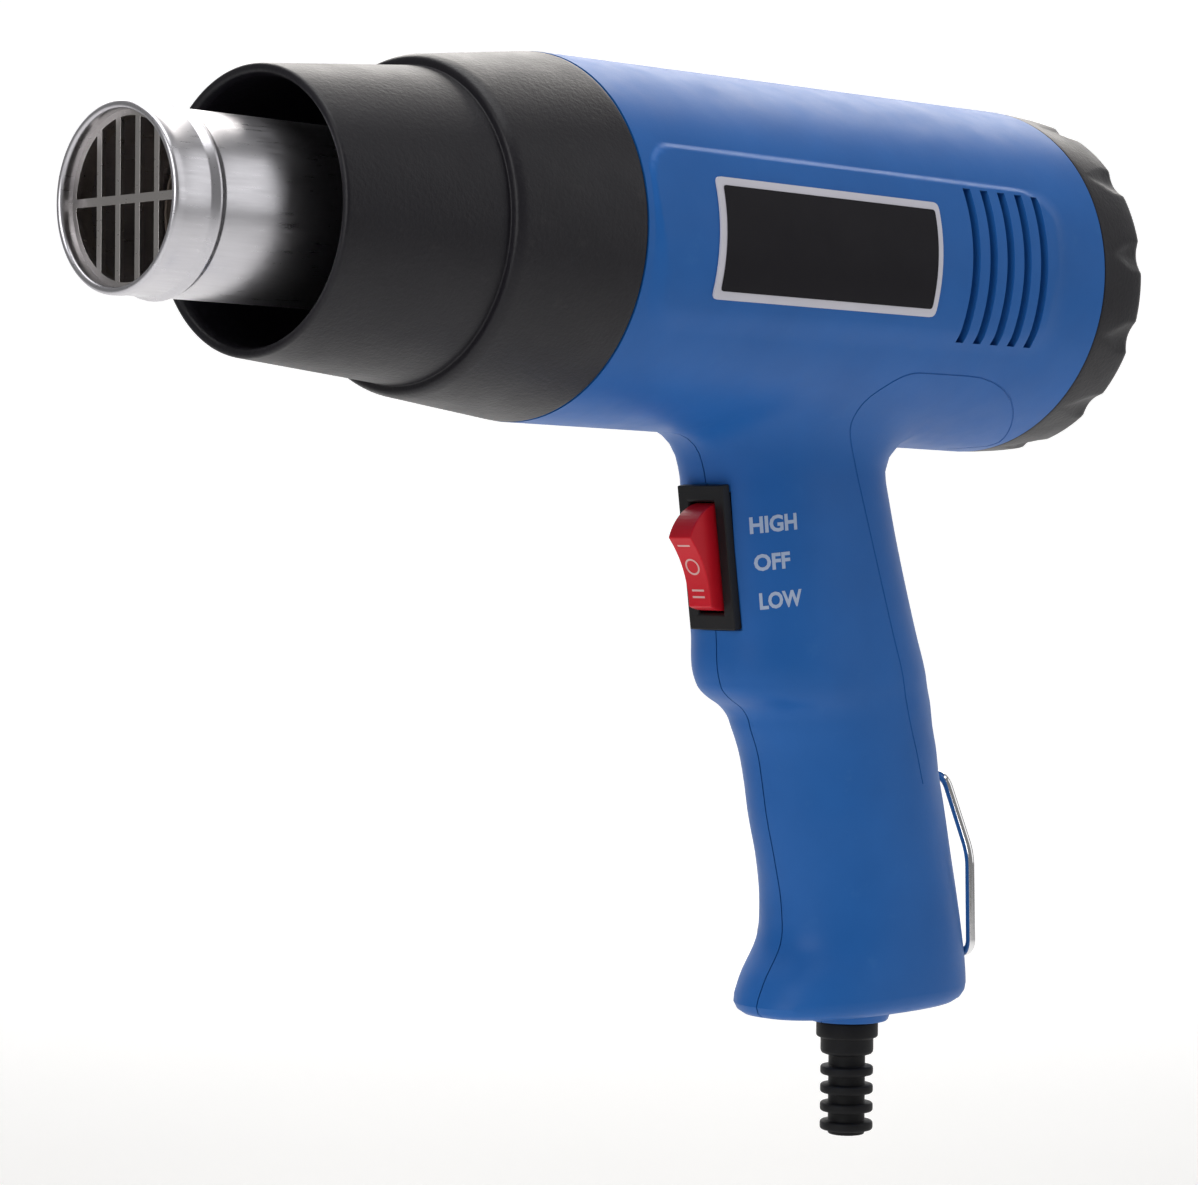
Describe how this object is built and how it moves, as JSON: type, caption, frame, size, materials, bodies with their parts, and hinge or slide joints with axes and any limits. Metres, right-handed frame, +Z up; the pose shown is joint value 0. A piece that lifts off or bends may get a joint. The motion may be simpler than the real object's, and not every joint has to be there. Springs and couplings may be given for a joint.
{
  "type": "heat gun",
  "caption": "Pistol-grip hot-air gun with a steel nozzle inside a stepped black shroud, a blue clamshell body, a red rocker switch, a scalloped rear stand ring and a wire hanging loop.",
  "frame": {"origin": "middle of the grip, on the clamshell's parting plane, where a hand holds the gun", "axes": "-X along the barrel towards the nozzle, +X towards the rear stand ring, +Z up with the handle hanging down, +Y to the right of someone aiming the gun"},
  "size_m": [0.263, 0.0796, 0.2315],
  "materials": {
    "blue_plastic": "satin",
    "black_plastic": "textured",
    "switch_plastic": "satin",
    "red_plastic": "gloss",
    "inner_plastic": "satin",
    "rubber": "matte",
    "nozzle_steel": "satin",
    "screw_steel": "satin",
    "chrome": "gloss",
    "brass": "satin",
    "heater_wire": "satin",
    "mica": "matte",
    "ferrite": "matte",
    "board": "satin",
    "label": "satin",
    "lead_insulation": "satin"
  },
  "bodies": {
    "gun": {"clamp_screw_1": "screw_steel", "clamp_screw_2": "screw_steel", "cord_clamp": "inner_plastic", "diode_1": "inner_plastic", "diode_2": "inner_plastic", "diode_3": "inner_plastic", "diode_4": "inner_plastic", "fan_duct": "inner_plastic", "front_shroud": "black_plastic", "heat_shield": "nozzle_steel", "heater_coil": "heater_wire", "heater_former": "mica", "housing_left": "blue_plastic", "housing_right": "blue_plastic", "housing_screw_1": "screw_steel", "housing_screw_2": "screw_steel", "housing_screw_3": "screw_steel", "housing_screw_4": "screw_steel", "housing_screw_5": "screw_steel", "housing_screw_6": "screw_steel", "insulation_sleeve": "mica", "label_left": "label", "label_right": "label", "lead_heater": "lead_insulation", "lead_live": "lead_insulation", "lead_neutral": "lead_insulation", "motor_bush_front": "brass", "motor_bush_rear": "brass", "motor_can": "nozzle_steel", "motor_end_cap": "inner_plastic", "motor_magnet_lower": "ferrite", "motor_magnet_upper": "ferrite", "nozzle_grille": "nozzle_steel", "nozzle_tube": "nozzle_steel", "rear_cap": "black_plastic", "rectifier_board": "board", "strain_relief": "rubber", "switch_body": "switch_plastic", "switch_terminal_1": "brass", "switch_terminal_2": "brass", "switch_terminal_3": "brass", "thermal_cutout": "inner_plastic"},
    "rocker": {"switch_rocker": "red_plastic"},
    "loop": {"hanging_loop": "chrome"},
    "rotor": {"motor_armature": "screw_steel", "impeller": "inner_plastic"}
  },
  "joints": [
    {"name": "rocker_tilt", "type": "hinge", "parent": "gun", "child": "rocker", "pos_m": [-0.04463, 0, 0.04647], "axis": [0, 1, 0], "range_deg": [0, 32]},
    {"name": "loop_swing", "type": "hinge", "parent": "gun", "child": "loop", "pos_m": [0.0296, 0, -0.043], "axis": [0, 1, 0], "range_deg": [0, 150]},
    {"name": "rotor_spin", "type": "hinge", "parent": "gun", "child": "rotor", "pos_m": [-0.05, 0, 0.11], "axis": [1, 0, 0], "continuous": true}
  ]
}
